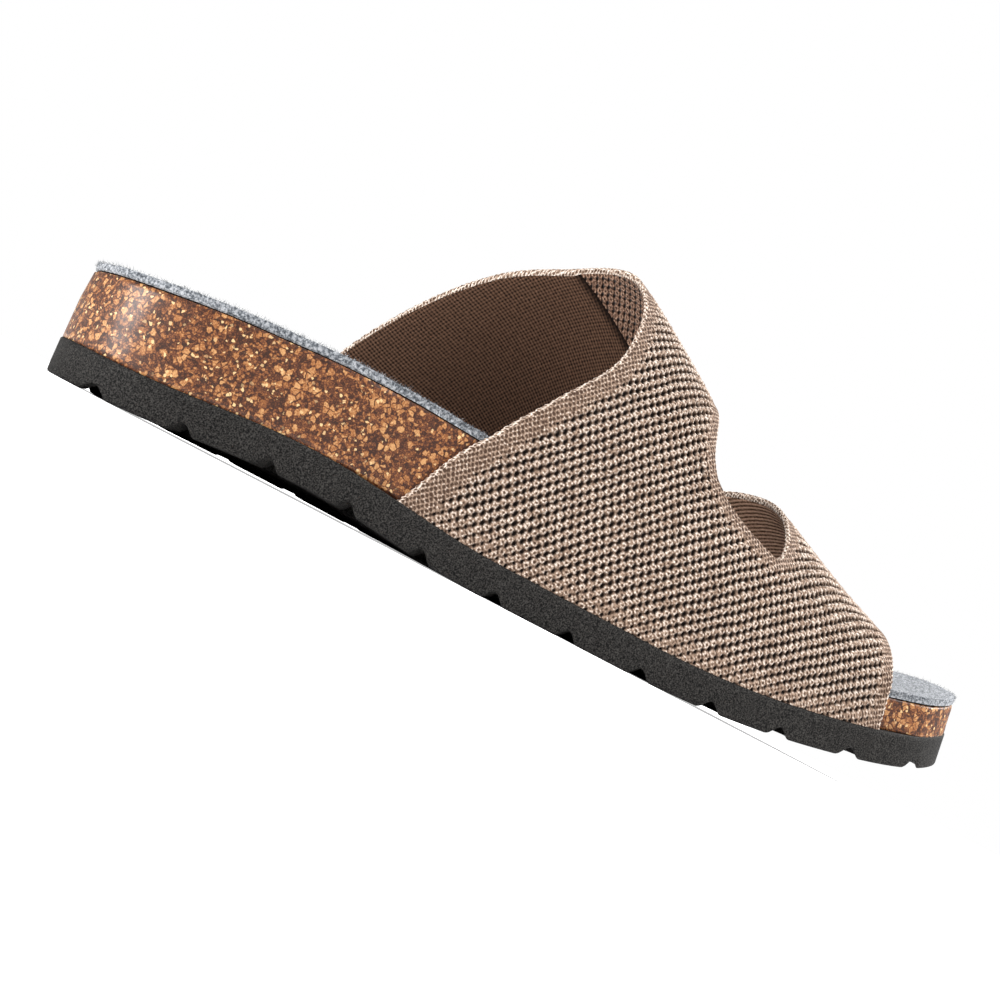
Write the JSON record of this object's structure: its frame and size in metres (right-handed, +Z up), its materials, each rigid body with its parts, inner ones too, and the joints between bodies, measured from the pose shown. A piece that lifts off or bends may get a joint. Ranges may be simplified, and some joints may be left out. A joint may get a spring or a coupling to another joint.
{
  "type": "slide sandal",
  "caption": "Backless slide sandal with a knitted upper cut out over the instep, on a dished cork footbed with felt insole and wavy foam outsole.",
  "frame": {"origin": "middle of the bottom of the box around the part, on the floor it stands on", "axes": "+X to the toe, +Y to the outer side of the left foot, +Z up"},
  "size_m": [0.2744, 0.0968, 0.099],
  "materials": {
    "foam": "fine grained charcoal foam",
    "cork": "lacquered cork granules",
    "felt": "flecked grey wool felt",
    "knit": "open taupe knit"
  },
  "bodies": {
    "root": {"outsole": "foam", "cork_footbed": "cork", "insole": "felt", "upper": "knit"}
  },
  "joints": []
}
